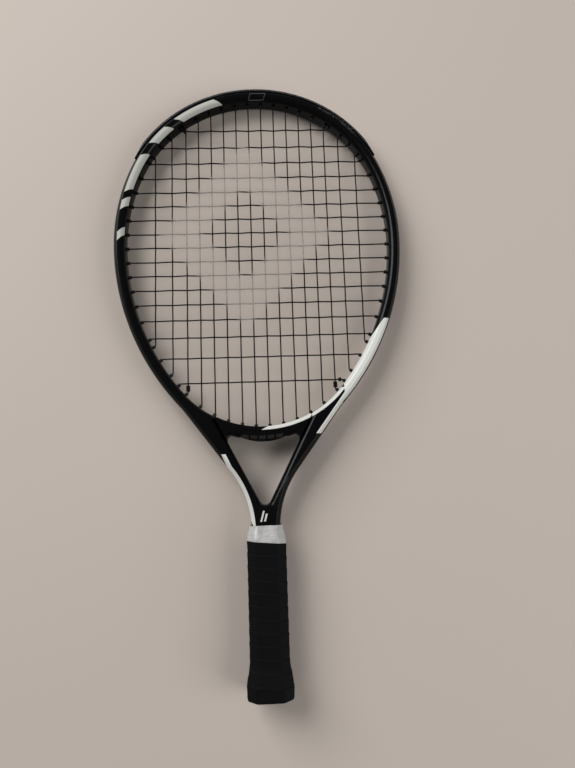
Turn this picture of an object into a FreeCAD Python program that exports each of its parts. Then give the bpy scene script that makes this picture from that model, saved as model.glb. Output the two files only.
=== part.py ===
import FreeCAD, Part
import math
import os
from FreeCAD import Placement, Rotation, Vector

# A strung junior tennis racket. Working coordinates, in millimetres: x = 0 is the long axis, y = 0 the
# end of the handle, +y runs to the tip of the hoop, and z = 0 is the plane of the strings. Every
# sub-part is then placed so that the origin is the middle of the underside, with +Z up.
SIZES = {
    # hoop: tangent arcs, each angle counted from the tip round to the handle
    "tube_tip": 584.4,
    "tip_radius": 136.0,
    "side_radius": 193.0,
    "low_radius": 245.0,
    "shoulder_angle": 66.0,
    "leave_angle": 132.0,
    "bridge_leave_angle": 130.2,
    # tube section
    "tube_width": 11.5,
    "tube_depth": 21.0,
    "outer_bevel": 3.4,
    "inner_bevel": 2.4,
    "channel_depth": 2.6,
    "channel_width": 7.0,
    "tube_wall": 1.8,
    "face_wall": 2.6,
    # arms, neck and shafts
    "fork_radius": 100.0,
    "neck_radius": 90.0,
    "neck_half": 13.0,
    "neck_top": 145.0,
    "shaft_end": 14.0,
    "arm_taper": 9.23,
    "throat_bottom": 168.05,
    "throat_round": 5.0,
    # bridge
    "bridge_width": 11.0,
    "bridge_corner": 4.4,
    "web_drop": 2.55,
    "web_half": 27.5,
    "web_rise": 5.45,
    "web_depth": 10.0,
    "web_groove": 4.6,
    "bridge_channel": 1.6,
    # guard and grommet strips
    "guard_thickness": 1.8,
    "guard_depth": 16.0,
    "guard_tail": 3.0,
    "guard_end": 0.4,
    "guard_ramp_angle": 8.0,
    "strip_tail": 10.0,
    "strip_gap": 0.6,
    "strip_base": 0.8,
    "strip_clearance": 0.1,
    "turn_clearance": 0.15,
    "sleeve_wall": 0.9,
    "string_clearance": 0.2,
    "collar_length": 2.6,
    "collar_lip": 0.7,
    # strings
    "string_diameter": 1.3,
    "weave_gap": 0.03,
    "weave_round": 12.0,
    "turn_round": 1.2,
    "turn_lift": 0.3,
    "turn_spacing": 0.1,
    "turn_start": 3.0,
    "knot_slack": 0.12,
    "knot_start": 1.8,
    "main_side_gap": 28.23,
    "outer_main_step": 14.2,
    "last_main_step": 16.6,
    "first_cross_drop": 39.7,
    "last_cross_rise": 43.63,
    "cross_spread_top": 4.0,
    "cross_spread_low": 9.9,
    # handle
    "pallet_width": 30.6,
    "pallet_height": 26.4,
    "pallet_corner": 6.0,
    "pallet_top": 134.5,
    "shaft_clearance": 0.1,
    "cap_width": 39.9,
    "cap_height": 35.6,
    "cap_length": 26.0,
    "cap_floor": 3.0,
    "cap_flat": 14.0,
    "cap_round": 3.0,
    "disc_diameter": 20.0,
    "disc_thickness": 0.8,
    "staple_width": 9.0,
    "staple_wire": 0.7,
    "staple_place": 20.0,
    "grip_thickness": 1.6,
    "overgrip_thickness": 0.7,
    "grip_taper": 13.0,
    "tape_thickness": 0.35,
    "tape_bottom": 133.5,
    "tape_top": 149.8,
    "plug_length": 30.0,
}

# Counts that the object's pattern fixes.
EVEN_MAINS = 6
CROSSES = 17
BRIDGE_MAINS = 3
TIED_MAIN = 6
GUARD_CROSSES = 3
MAIN_TURNS, CROSS_TURNS = 4, 2

doc = FreeCAD.newDocument("tennis_racket")
sheet = doc.addObject("Spreadsheet::Sheet", "Sizes")
for row, (alias, value) in enumerate(SIZES.items(), start=1):
    sheet.set(f"A{row}", alias)
    sheet.set(f"B{row}", str(value))
    sheet.setAlias(f"B{row}", alias)
doc.recompute()


def size(alias):
    return float(getattr(sheet, alias))


def outward(angle):
    """Unit vector at an angle, in degrees, from the tip's direction towards the right-hand side."""
    return Vector(math.sin(math.radians(angle)), math.cos(math.radians(angle)), 0)


# ---- outline of the frame: tangent arcs and lines, so every inset is an exact offset ----

def hoop_arcs(inset, leave="leave_angle"):
    """Centre, radius and angles of each arc of the right half of the hoop, from the tip."""
    angles = [0.0, size("shoulder_angle"), 90.0, size(leave)]
    radii = [size("tip_radius"), size("side_radius"), size("low_radius")]
    centre = Vector(0, size("tube_tip") - radii[0], 0)
    arcs = []
    for index, radius in enumerate(radii):
        if index:
            centre = centre + outward(angles[index]) * (radii[index - 1] - radius)
        arcs.append((centre, radius - inset, angles[index], angles[index + 1]))
    return arcs


def arc_point(arc, angle):
    return arc[0] + outward(angle) * arc[1]


def bridge_circle(growth=0.0):
    """Circle that carries the hoop's inner edge across the throat, with its centre on the axis."""
    angle = size("bridge_leave_angle")
    start = arc_point(hoop_arcs(size("tube_width"))[-1], angle)
    radius = start.x / outward(angle).x
    return Vector(0, start.y - radius * outward(angle).y, 0), radius + growth


def fork():
    """Centre of the concave arc where the arm leaves the hoop, centre of the neck's arc, and the
    arm's angle from the long axis, found by halving because it depends on both arcs."""
    leave = size("leave_angle")
    start = arc_point(hoop_arcs(0)[-1], leave)
    bend, neck = size("fork_radius"), size("neck_radius")
    neck_centre = Vector(size("neck_half") + neck, size("neck_top"), 0)
    low, high = 1.0, leave - 90.0
    while high - low > 1e-9:
        angle = (low + high) / 2
        normal = outward(angle + 90.0)
        turned = bend * (1 - math.cos(math.radians(leave - 90.0 - angle)))
        if normal.dot(neck_centre - start) - neck + turned < 0:
            low = angle
        else:
            high = angle
    return start + outward(leave) * bend, neck_centre, angle


def arc_through(centre, radius, start, end):
    """Three points of an arc whose two end directions are given in degrees from +y."""
    middle = (start + end) / 2
    return ("arc", [centre + outward(a) * radius for a in (start, middle, end)])


def outer_half(inset, bottom):
    """Right half of the frame's outer outline, drawn in by inset, down to y = bottom."""
    parts = [arc_through(c, r, a, b) for c, r, a, b in hoop_arcs(inset)]
    fork_centre, neck_centre, arm = fork()
    bend, neck = size("fork_radius") + inset, size("neck_radius") + inset
    parts.append(arc_through(fork_centre, bend, size("leave_angle") + 180, arm + 270))
    top = fork_centre - outward(arm + 90) * bend
    low = neck_centre - outward(arm + 90) * neck
    foot = neck_centre - Vector(neck, 0, 0)
    parts.append(("line", [top, low]))
    parts.append(arc_through(neck_centre, neck, arm + 270, 270))
    parts.append(("line", [foot, Vector(foot.x, bottom, 0)]))
    return parts


def throat_half_angle():
    """Angle of the arm's inner edge from the long axis: less than the outer edge's by the taper."""
    return fork()[2] - size("arm_taper")


def throat_line(growth=0.0):
    """Normal of the arm's inner edge, a point on it, and the centre of the throat's bottom round."""
    normal = outward(90 + throat_half_angle())
    apex = Vector(0, size("throat_bottom") + size("throat_round"), 0)
    return normal, apex + normal * (size("throat_round") + growth), apex


def throat_corner(growth=0.0):
    """Where the hoop's inner edge, across the throat, meets the inner edge of the arm."""
    centre, radius = bridge_circle(growth)
    normal, on_line, _ = throat_line(growth)
    along = outward(throat_half_angle())
    distance = normal.dot(centre - on_line)
    return centre - normal * distance - along * math.sqrt(radius ** 2 - distance ** 2)


def circle_angle(centre, point):
    return math.degrees(math.atan2(point.x - centre.x, point.y - centre.y))


def inner_half(growth):
    """Right half of the hoop's inner edge and of the arm's, grown into the tube by growth."""
    arcs = hoop_arcs(size("tube_width") - growth, "bridge_leave_angle")
    parts = [arc_through(*arc) for arc in arcs]
    centre, radius = bridge_circle(growth)
    corner = throat_corner(growth)
    start = size("bridge_leave_angle")
    parts.append(arc_through(centre, radius, start, circle_angle(centre, corner)))
    normal, on_line, apex = throat_line(growth)
    parts.append(("line", [corner, on_line]))
    return parts


def mirrored(parts):
    return parts + [(kind, [Vector(-p.x, p.y, p.z) for p in points]) for kind, points in parts]


def closed_below(parts):
    """Both halves of an outline that ends at the same height each side, joined by a straight line."""
    end = parts[-1][1][-1]
    return mirrored(parts) + [("line", [end, Vector(-end.x, end.y, 0)])]


def frame_outline(inset, bottom):
    return closed_below(outer_half(inset, bottom))


def throat_outline():
    """The opening of the bare tube: hoop, throat and the round between the arms, as one hole."""
    normal, on_line, apex = throat_line()
    start = 90 + throat_half_angle()
    bottom = arc_through(apex, size("throat_round"), start, 360 - start)
    return mirrored(inner_half(0)) + [bottom]


# ---- document helpers ----

def body(name):
    return doc.addObject("PartDesign::Body", name)


def sketch(owner, name, elements, role="XY_Plane", height=None):
    """A sketch on one of the body's own planes, lifted along its normal by an expression."""
    drawing = owner.newObject("Sketcher::SketchObject", name)
    support = [f for f in owner.Origin.OriginFeatures if f.Role == role][0]
    drawing.AttachmentSupport = (support, [""])
    drawing.MapMode = "FlatFace"
    if height:
        drawing.setExpression("AttachmentOffset.Base.z", height)
    for kind, points in elements:
        shape = Part.LineSegment(*points) if kind == "line" else Part.Arc(*points)
        drawing.addGeometry(shape, False)
    return drawing


def prism(owner, name, kind, profile, length):
    """A Pad or Pocket of length, given as an expression, to both sides of the sketch."""
    feature = owner.newObject(f"PartDesign::{kind}", name)
    feature.Profile = profile
    feature.SideType = "Symmetric"
    feature.setExpression("Length", length)
    doc.recompute()
    return feature


def flat(owner, name, kind, profile, length):
    """A Pad or Pocket to one side, along +Y when the sketch lies on the XZ plane."""
    feature = owner.newObject(f"PartDesign::{kind}", name)
    feature.Profile = profile
    feature.Reversed = kind == "Pad"
    feature.setExpression("Length", length)
    doc.recompute()
    return feature


def box(name, low, high):
    block = doc.addObject("Part::Box", name)
    block.Length, block.Width, block.Height = high.x - low.x, high.y - low.y, high.z - low.z
    block.Placement = Placement(low, Rotation())
    return block


def combine(kind, name, first, second):
    result = doc.addObject(f"Part::{kind}", name)
    result.Base, result.Tool = first, second
    doc.recompute()
    return result


def group(name, members):
    result = doc.addObject("Part::Compound", name)
    result.Links = members
    return result


def rods(name, lines, diameter):
    """One cylinder along each line, as one group. The diameter is an expression."""
    members = []
    for number, (start, end) in enumerate(lines, start=1):
        rod = doc.addObject("Part::Cylinder", f"{name}_{number}")
        rod.setExpression("Radius", f"({diameter}) / 2")
        rod.Height = (end - start).Length
        rod.Placement = Placement(start, Rotation(Vector(0, 0, 1), end - start))
        members.append(rod)
    return group(name, members)


def loop(corners):
    return [("line", [p, q]) for p, q in zip(corners, corners[1:] + corners[:1])]


def rectangle(low_a, low_b, high_a, high_b):
    corners = [Vector(low_a, low_b, 0), Vector(high_a, low_b, 0),
               Vector(high_a, high_b, 0), Vector(low_a, high_b, 0)]
    return loop(corners)


FAR = 400.0
OVERSHOOT = 8.0
STRAIGHT = 1e-4
finished = {}


def finish(node, thing):
    thing.Label = node
    finished[node] = thing


# ---- string pattern ----

def main_places():
    """x of each main string on one side, from the middle outwards: the last one stands off the
    hoop's inner edge by the side gap, and the even ones share what is left."""
    centre, radius, *_ = hoop_arcs(size("tube_width"))[-1]
    last = centre.x + radius - size("main_side_gap")
    outer = last - size("last_main_step")
    even = outer - size("outer_main_step")
    return [even * (k + 0.5) / (EVEN_MAINS - 0.5) for k in range(EVEN_MAINS)] + [outer, last]


def cross_places():
    """y of each cross string, from the tip: closest in the middle, opening out at both ends."""
    centre, radius = bridge_circle()
    first = size("tube_tip") - size("first_cross_drop")
    last = centre.y - radius + size("last_cross_rise")
    spreads = [0.0]
    for k in range(1, CROSSES):
        near_tip = (max(6 - k, 0) / 5) ** 2
        near_bridge = (max(k - 10, 0) / 6) ** 3
        spreads.append(size("cross_spread_top") * near_tip + size("cross_spread_low") * near_bridge)
    pitch = (first - last - sum(spreads)) / (CROSSES - 1)
    return [first - pitch * k - sum(spreads[:k + 1]) for k in range(CROSSES)]


def bend_arcs():
    """Arcs on which the strings bend, just inside the sleeves' tips, from the tip to the bridge."""
    inside = size("collar_length") + size("collar_lip")
    arcs = hoop_arcs(size("tube_width") + inside, "bridge_leave_angle")
    centre, radius = bridge_circle(-inside)
    return arcs + [(centre, radius, size("bridge_leave_angle"), 180.0)]


def bend_point(x=None, y=None, low=False):
    """Where the string at x (top or low end) or at y bends into its sleeve, and the direction."""
    for arc in bend_arcs():
        centre, radius, start, end = arc
        if x is not None:
            across = (x - centre.x) / radius
            if abs(across) > 1:
                continue
            angle = math.degrees(math.asin(across))
            angle = 180 - angle if low else angle
        else:
            along = (y - centre.y) / radius
            if abs(along) > 1:
                continue
            angle = math.degrees(math.acos(along))
        if start <= angle <= end:
            return arc_point(arc, angle), outward(angle)
    raise ValueError("a string misses the hoop")


def wire_of(elements):
    edges = [(Part.LineSegment(*p) if kind == "line" else Part.Arc(*p)).toShape()
             for kind, p in elements]
    return Part.Wire(Part.__sortEdges__(edges))


def reach(point, direction, wire):
    """Point where a sleeve's line leaves the frame through an outline."""
    ray = Part.makeLine(point, point + direction * 60)
    return min(ray.distToShape(wire)[1], key=lambda pair: (pair[0] - point).Length)[0]


string_radius = size("string_diameter") / 2
turn_inset = size("channel_depth") - size("strip_base") - size("turn_lift") - string_radius
FRAME_BOTTOM = size("shaft_end")
turn_wire = wire_of(frame_outline(turn_inset, FRAME_BOTTOM))
base_wire = wire_of(frame_outline(size("channel_depth"), FRAME_BOTTOM))
bridge_centre, bridge_inner = bridge_circle()
bridge_base = bridge_inner + size("bridge_width") - size("bridge_channel")
bridge_turn = bridge_base + size("strip_base") + size("turn_lift") + string_radius
strip_end = bridge_centre.y - bridge_inner - size("strip_tail")
turn_offset = size("string_diameter") + size("turn_spacing")
SLEEVE_BORE = "(Sizes.string_diameter + Sizes.string_clearance)"
SLEEVE_DIAMETER = "(Sizes.string_diameter + Sizes.string_clearance + 2 * Sizes.sleeve_wall)"
TURN_GROOVE = ("3 * Sizes.string_diameter + 2 * Sizes.turn_spacing"
               " + 2 * Sizes.turn_clearance")


def end_points(x=None, y=None, low=False):
    """Sleeve tip, sleeve foot on the channel floor, outer corner of the string, and its bend."""
    bend, direction = bend_point(x, y, low)
    tip = bend + direction * size("collar_lip")
    if low and x is not None and x < mains[BRIDGE_MAINS]:
        return (tip, bridge_centre + direction * bridge_base,
                bridge_centre + direction * bridge_turn, bend)
    foot = reach(tip, direction, base_wire)
    return tip, foot, reach(tip, direction, turn_wire), bend


mains, crosses = main_places(), cross_places()
top_ends = [end_points(x=x) for x in mains]
low_ends = [end_points(x=x, low=True) for x in mains]
side_ends = [end_points(y=y) for y in crosses]


def left(points):
    return tuple(Vector(-p.x, p.y, p.z) for p in points)


# ---- frame tube: one hollow hairpin, moulded with a channel outside and drilled for the sleeves ----

tube = body("TubeBlank")
outline = sketch(tube, "TubeOutline", frame_outline(0, FRAME_BOTTOM) + throat_outline())
prism(tube, "TubePad", "Pad", outline, "Sizes.tube_depth")


def bevel(owner, name, base, chosen, amount):
    names = [f"Edge{n}" for n, edge in enumerate(base.Shape.Edges, start=1) if chosen(edge)]
    feature = owner.newObject("PartDesign::Chamfer", name)
    feature.Base = (base, names)
    feature.setExpression("Size", amount)
    owner.Tip = feature
    doc.recompute()
    return feature


outer_wire = wire_of(frame_outline(0, FRAME_BOTTOM))
throat_wire = wire_of(throat_outline())


def lies_on(edge, wire, depth):
    """True for an edge of the top or bottom face that follows the outline."""
    middle = edge.valueAt((edge.FirstParameter + edge.LastParameter) / 2)
    if any(abs(abs(v.Z) - depth / 2) > 1e-4 for v in edge.Vertexes):
        return False
    flat_middle = Part.Vertex(middle.x, middle.y, 0)
    return flat_middle.distToShape(wire)[0] < 1e-3 and middle.y > FRAME_BOTTOM + 1e-3


bevel(tube, "OuterBevel", tube.Tip, lambda e: lies_on(e, outer_wire, size("tube_depth")),
      "Sizes.outer_bevel")
bevel(tube, "InnerBevel", tube.Tip, lambda e: lies_on(e, throat_wire, size("tube_depth")),
      "Sizes.inner_bevel")


def cavity_half():
    """Right half of the space inside the tube, as one closed band down to the open shaft end."""
    wall = size("tube_wall")
    outside = outer_half(size("channel_depth") + wall, FRAME_BOTTOM)
    inside = inner_half(wall)
    normal, on_line, apex = throat_line(wall)
    radius = size("throat_round") + wall
    foot = Vector(wall, apex.y - math.sqrt(radius ** 2 - wall ** 2), 0)
    inside.append(arc_through(apex, radius, 90 + throat_half_angle(), circle_angle(apex, foot)))
    inside.append(("line", [foot, Vector(wall, FRAME_BOTTOM, 0)]))
    base = ("line", [inside[-1][1][-1], outside[-1][1][-1]])
    return outside + inside + [base]


cavity = sketch(tube, "CavityOutline", mirrored(cavity_half()))
prism(tube, "Cavity", "Pocket", cavity, "Sizes.tube_depth - 2 * Sizes.face_wall")

channel = body("ChannelTool")
channel_line = sketch(channel, "ChannelOutline",
                      frame_outline(-1, FRAME_BOTTOM) + frame_outline(size("channel_depth"),
                                                                      FRAME_BOTTOM + 1))
prism(channel, "ChannelPad", "Pad", channel_line, "Sizes.channel_width")
channel_area = box("ChannelArea", Vector(-FAR, strip_end - 1, -20), Vector(FAR, 2 * FAR, 20))
channel_cut = combine("Common", "ChannelCut", channel, channel_area)

holes = []
for tip, foot, *_ in top_ends + low_ends[BRIDGE_MAINS:] + side_ends:
    holes.append((tip, foot + (foot - tip).normalize() * OVERSHOOT))
all_holes = holes + [left(line) for line in holes]
drill = rods("Drill", all_holes, SLEEVE_DIAMETER + " + Sizes.strip_clearance")
grooved = combine("Cut", "GroovedTube", tube, channel_cut)
frame_tube = combine("Cut", "FrameTube", grooved, drill)
finish("frame_tube", frame_tube)

# ---- throat bridge: bar between the arms with rounded corners and a lens-shaped web ----


def bridge_outline():
    centre, radius = bridge_centre, bridge_inner
    corner = throat_corner()
    bar = radius + size("bridge_width")
    rounding = size("bridge_corner")
    normal, on_line, _ = throat_line(-rounding)
    along = outward(throat_half_angle())
    distance = normal.dot(centre - on_line)
    middle = centre - normal * distance - along * math.sqrt((bar + rounding) ** 2 - distance ** 2)
    on_arm = middle + normal * rounding
    on_bar = centre + (middle - centre) * (bar / (bar + rounding))
    towards = circle_angle(middle, on_bar)
    towards -= 360 if towards >= 90 + throat_half_angle() else 0
    right = [
        arc_through(centre, radius, circle_angle(centre, corner), 180),
        ("line", [corner, on_arm]),
        arc_through(middle, rounding, 90 + throat_half_angle(), towards),
        arc_through(centre, bar, circle_angle(centre, on_bar), 180),
    ]
    return mirrored(right)


bridge = body("BridgeBlank")
bar_line = sketch(bridge, "BarOutline", bridge_outline())
bar_pad = prism(bridge, "BarPad", "Pad", bar_line, "Sizes.tube_depth")


def on_circle(edge, radius):
    middle = edge.valueAt((edge.FirstParameter + edge.LastParameter) / 2)
    if any(abs(abs(v.Z) - size("tube_depth") / 2) > 1e-4 for v in edge.Vertexes):
        return False
    return abs((Vector(middle.x, middle.y, 0) - bridge_centre).Length - radius) < 1e-3


bevel(bridge, "BarBevel", bar_pad,
      lambda e: on_circle(e, bridge_inner) or on_circle(e, bridge_inner + size("bridge_width")),
      "Sizes.inner_bevel")
bar_bottom = bridge_centre.y - bridge_inner - size("bridge_width")
half, low, end = size("web_half"), bar_bottom - size("web_drop"), bar_bottom + size("web_rise")
web_elements = [("arc", [Vector(-half, end, 0), Vector(0, low, 0), Vector(half, end, 0)]),
                ("line", [Vector(half, end, 0), Vector(-half, end, 0)])]
web_line = sketch(bridge, "WebOutline", web_elements)
prism(bridge, "WebPad", "Pad", web_line, "Sizes.web_depth")

groove = body("BridgeGrooveTool")
floor = bridge_base
reach_angle = circle_angle(bridge_centre, low_ends[BRIDGE_MAINS - 1][2])
spread = 180 - reach_angle + 3
groove_elements = [
    arc_through(bridge_centre, floor, 180 - spread, 180 + spread),
    arc_through(bridge_centre, floor + 25, 180 - spread, 180 + spread),
    ("line", [bridge_centre + outward(180 - spread) * r for r in (floor, floor + 25)]),
    ("line", [bridge_centre + outward(180 + spread) * r for r in (floor, floor + 25)]),
]
groove_line = sketch(groove, "GrooveOutline", groove_elements)
prism(groove, "GroovePad", "Pad", groove_line, "Sizes.web_groove")
bridge_grooved = combine("Cut", "GroovedBridge", bridge, groove)
bridge_lines = [(tip, foot + (foot - tip).normalize() * OVERSHOOT)
                for tip, foot, *_ in low_ends[:BRIDGE_MAINS + 1]]
bridge_lines += [left(line) for line in bridge_lines]
bridge_drill = rods("BridgeDrill", bridge_lines, SLEEVE_DIAMETER + " + Sizes.strip_clearance")
finish("throat_bridge", combine("Cut", "ThroatBridge", bridge_grooved, bridge_drill))

# ---- bumper guard, side strips and throat strip: flexible bases with a sleeve at each hole ----


def band(name, outer_inset, inner_inset, width, low_y, high_y, side=0):
    """Strip that follows the outside of the frame between two insets, cut to a stretch of y."""
    owner = body(name + "Band")
    lines = frame_outline(outer_inset, FRAME_BOTTOM) + frame_outline(inner_inset, FRAME_BOTTOM + 1)
    prism(owner, name + "Pad", "Pad", sketch(owner, name + "Outline", lines), width)
    low_x = 0 if side > 0 else -FAR
    high_x = 0 if side < 0 else FAR
    area = box(name + "Area", Vector(low_x, low_y, -20), Vector(high_x, high_y, 20))
    return combine("Common", name + "Stretch", owner, area)


def sleeved(name, base, lines):
    """Fuse sleeves, which end halfway through the base, to it and bore them for the string."""
    rooted = [(a, b + (b - a).normalize() * (size("strip_base") / 2)) for a, b in lines]
    sleeves = rods(name + "Sleeves", rooted, SLEEVE_DIAMETER)
    joined = doc.addObject("Part::MultiFuse", name + "Joined")
    joined.Shapes = [base] + sleeves.Links
    bores = rods(name + "Bores", [(a + (a - b).normalize(), b + (b - a).normalize() * OVERSHOOT)
                                  for a, b in lines], SLEEVE_BORE)
    return combine("Cut", name, joined, bores)


base_inset = size("channel_depth") - size("strip_base")
strip_width = "Sizes.channel_width - 2 * Sizes.strip_clearance"
# The guard ends just past the third cross string's hole.
upper = side_ends[GUARD_CROSSES - 1][1].y - size("guard_tail")
lower_limit = upper - size("strip_gap")

guard_shell = band("GuardShell", -size("guard_thickness"), 0, "Sizes.guard_depth", upper, 2 * FAR)
# Both ends of the guard thin out towards the tube.
tip_centre = Vector(0, size("tube_tip") - size("tip_radius"), 0)
guard_end_angle = math.degrees(math.acos((upper - tip_centre.y) / size("tip_radius")))
for side, label in ((1, "Right"), (-1, "Left")):
    ramp = body("GuardRamp" + label)
    ramp_corners = [tip_centre + outward(side * (guard_end_angle + turn)) * (size("tip_radius") + rise)
                    for turn, rise in ((1, size("guard_end")),
                                       (-size("guard_ramp_angle"), size("guard_thickness") + 0.3),
                                       (-size("guard_ramp_angle"), OVERSHOOT),
                                       (10, OVERSHOOT))]
    ramp_outline = sketch(ramp, f"GuardRamp{label}Outline", loop(ramp_corners))
    prism(ramp, f"GuardRamp{label}Pad", "Pad", ramp_outline, "Sizes.guard_depth + 2")
    guard_shell = combine("Cut", "GuardTapered" + label, guard_shell, ramp)
guard_root = band("GuardRoot", -0.2, size("channel_depth"), strip_width, upper, 2 * FAR)
guard_slot = band("GuardSlot", -size("guard_thickness") - 1, base_inset, TURN_GROOVE,
                  upper - 1, 2 * FAR)
guard_blank = combine("Cut", "GuardBlank", combine("Fuse", "GuardWhole", guard_shell, guard_root),
                      guard_slot)
guard_lines = [(tip, foot) for tip, foot, *_ in top_ends + side_ends if foot.y > upper]
guard_lines += [left(line) for line in guard_lines]
finish("bumper_guard", sleeved("BumperGuard", guard_blank, guard_lines))

side_lines = [(tip, foot) for tip, foot, *_ in side_ends + low_ends[BRIDGE_MAINS:] if foot.y < upper]
for side, node in ((1, "grommet_strip_right"), (-1, "grommet_strip_left")):
    strip = band(f"Strip{node[14:]}", base_inset, size("channel_depth"), strip_width,
                 strip_end, lower_limit, side)
    lines = side_lines if side > 0 else [left(line) for line in side_lines]
    finish(node, sleeved("Sleeved" + node[14:], strip, lines))

throat_strip = body("ThroatStripBase")
throat_base = [
    arc_through(bridge_centre, floor, 181 - spread, 179 + spread),
    arc_through(bridge_centre, floor + size("strip_base"), 181 - spread, 179 + spread),
]
for angle in (181 - spread, 179 + spread):
    ends = [bridge_centre + outward(angle) * r for r in (floor, floor + size("strip_base"))]
    throat_base.append(("line", ends))
prism(throat_strip, "ThroatStripPad", "Pad", sketch(throat_strip, "ThroatStripOutline", throat_base),
      "Sizes.web_groove - 2 * Sizes.strip_clearance")
throat_lines = [(tip, foot) for tip, foot, *_ in low_ends[:BRIDGE_MAINS]]
throat_lines += [left(line) for line in throat_lines]
finish("throat_grommet_strip", sleeved("ThroatStrip", throat_strip, throat_lines))

# ---- strings: each run weaves over and under, passes its sleeves and turns in the channel ----


def rounded_path(points, radii):
    """Straight runs joined by tangent arcs, one radius for each inner point."""
    edges, last = [], points[0]
    for before, point, after, radius in zip(points, points[1:], points[2:], radii):
        back, ahead = (before - point), (after - point)
        room = 0.45 * min(back.Length, ahead.Length)
        back, ahead = back.normalize(), ahead.normalize()
        half_turn = (math.pi - back.getAngle(ahead)) / 2
        if half_turn < STRAIGHT:
            continue
        cut = min(radius * math.tan(half_turn), room)
        bend = cut / math.tan(half_turn)
        start, end = point + back * cut, point + ahead * cut
        middle = point + (back + ahead).normalize() * (bend / math.cos(half_turn) - bend)
        edges.append(Part.LineSegment(last, start).toShape())
        edges.append(Part.Arc(start, middle, end).toShape())
        last = end
    edges.append(Part.LineSegment(last, points[-1]).toShape())
    return Part.Wire(edges)


def tube_along(path, radius):
    first = path.Edges[0]
    start, heading = first.valueAt(first.FirstParameter), first.tangentAt(first.FirstParameter)
    profile = Part.Wire([Part.makeCircle(radius, start, heading)])
    return path.makePipeShell([profile], True, False)


# Each crossing's arc passes inside its corner point, so the corner stands out by that much more.
slope = math.atan((size("string_diameter") + 2 * size("weave_gap")) / (mains[1] - mains[0]))
lift = string_radius + size("weave_gap") + size("weave_round") * (1 / math.cos(slope) - 1)


def string_run(first, inner, last):
    """One run: turn, sleeve, weave, sleeve, turn. first and last list the outer points in order."""
    points = first + inner + last[::-1]
    radii = [size("turn_round")] * (len(first) - 1) + [size("weave_round")] * len(inner)
    radii += [size("turn_round")] * (len(last) - 1)
    return tube_along(rounded_path(points, radii), string_radius)


def paired(index, count, first_pair):
    """Neighbour that a run's end turns to: runs are joined in pairs from first_pair on."""
    other = index + 1 if (index - first_pair) % 2 == 0 else index - 1
    return other if 0 <= other < count else None


def outer_points(ends, index, partner, offset):
    """Points of a run's end, from the middle of the turn inwards. Turns of main and cross strings
    lie on opposite sides of the channel, and rest on its floor where it bulges outwards."""
    corner, bend = ends[index][2:4]
    if partner is None:
        return [corner, bend]
    other = ends[partner][2]
    middle = (corner + other) * 0.5
    on_floor = Part.Vertex(middle).distToShape(turn_wire)[1][0][1]
    if partner_is_outside(on_floor, middle):
        middle = on_floor
    aside = Vector(0, 0, offset)
    along = (corner - other).normalize()
    near = corner - along * size("turn_start")
    level = middle + along * min(size("turn_start"), (corner - other).Length / 6)
    return [middle + aside, level + aside, near + aside, corner, bend]


def partner_is_outside(on_floor, middle):
    """True where the channel floor's own line lies further out than the straight chord."""
    gap = on_floor - middle
    hub = Vector(0, size("tube_tip") - size("tip_radius"), 0)
    return gap.Length < 5 and gap.dot(middle - hub) > 0


all_mains = [-x for x in mains[::-1]] + mains
all_top = [left(e) for e in top_ends[::-1]] + top_ends
all_low = [left(e) for e in low_ends[::-1]] + low_ends
main_count = len(all_mains)
main_runs = []
for i, x in enumerate(all_mains):
    across = [Vector(x, y, lift if (i + j) % 2 else -lift) for j, y in enumerate(crosses)]
    span = [p for p in across if all_low[i][3].y + 1.5 < p.y < all_top[i][3].y - 1.5]
    top = outer_points(all_top, i, paired(i, main_count, 0), -turn_offset)
    low_end = outer_points(all_low, i, paired(i, main_count, 1), -turn_offset)
    main_runs.append(string_run(top, span, low_end))

cross_runs = []
left_ends = [left(e) for e in side_ends]
for j, y in enumerate(crosses):
    across = [Vector(x, y, -lift if (i + j) % 2 else lift) for i, x in enumerate(all_mains)]
    span = [p for p in across if abs(p.x) < side_ends[j][3].x - 1.5]
    right_end = outer_points(side_ends, j, paired(j, CROSSES, 0), turn_offset)
    left_end = outer_points(left_ends, j, paired(j, CROSSES, 1), turn_offset)
    cross_runs.append(string_run(left_end, span, right_end))


def set_shape(name, solids):
    feature = doc.addObject("Part::Feature", name)
    feature.Shape = Part.makeCompound(solids)
    return feature


finish("main_string", set_shape("MainString", main_runs))
finish("cross_string", set_shape("CrossString", cross_runs))

# ---- knots: the string's tail is wound round the run beside it, against the sleeve's tip ----


def knot(name, at, heading, turns):
    """Turns of string round a run, side by side."""
    members = []
    for turn in range(turns):
        ring = doc.addObject("Part::Torus", f"{name}_turn_{turn + 1}")
        ring.setExpression("Radius1", "Sizes.string_diameter + Sizes.knot_slack")
        ring.setExpression("Radius2", "Sizes.string_diameter / 2")
        step = size("string_diameter") + size("knot_slack")
        ring.Placement = Placement(at + heading * (step * turn), Rotation(Vector(0, 0, 1), heading))
        members.append(ring)
    return members


knots = []
tied = low_ends[TIED_MAIN - 1]
for number, points in enumerate((tied, left(tied), left(side_ends[0]), side_ends[-1]), start=1):
    on_main = number < 3
    inward = Vector(0, 1, 0) if on_main else Vector(-math.copysign(1, points[3].x), 0, 0)
    start = points[3] + inward * size("knot_start")
    knots += knot(f"Knot_{number}", start, inward, MAIN_TURNS if on_main else CROSS_TURNS)
finish("tie_off_knots", group("TieOffKnots", knots))

# ---- handle ----


def octagon(width, height, cut):
    """Corners of the grip's eight-sided section: a rectangle with its corners cut."""
    a, b = width / 2, height / 2
    corners = [(a, b - cut), (a - cut, b), (cut - a, b), (-a, b - cut),
               (-a, cut - b), (cut - a, -b), (a - cut, -b), (a, cut - b)]
    return [Vector(x, y, 0) for x, y in corners]


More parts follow.
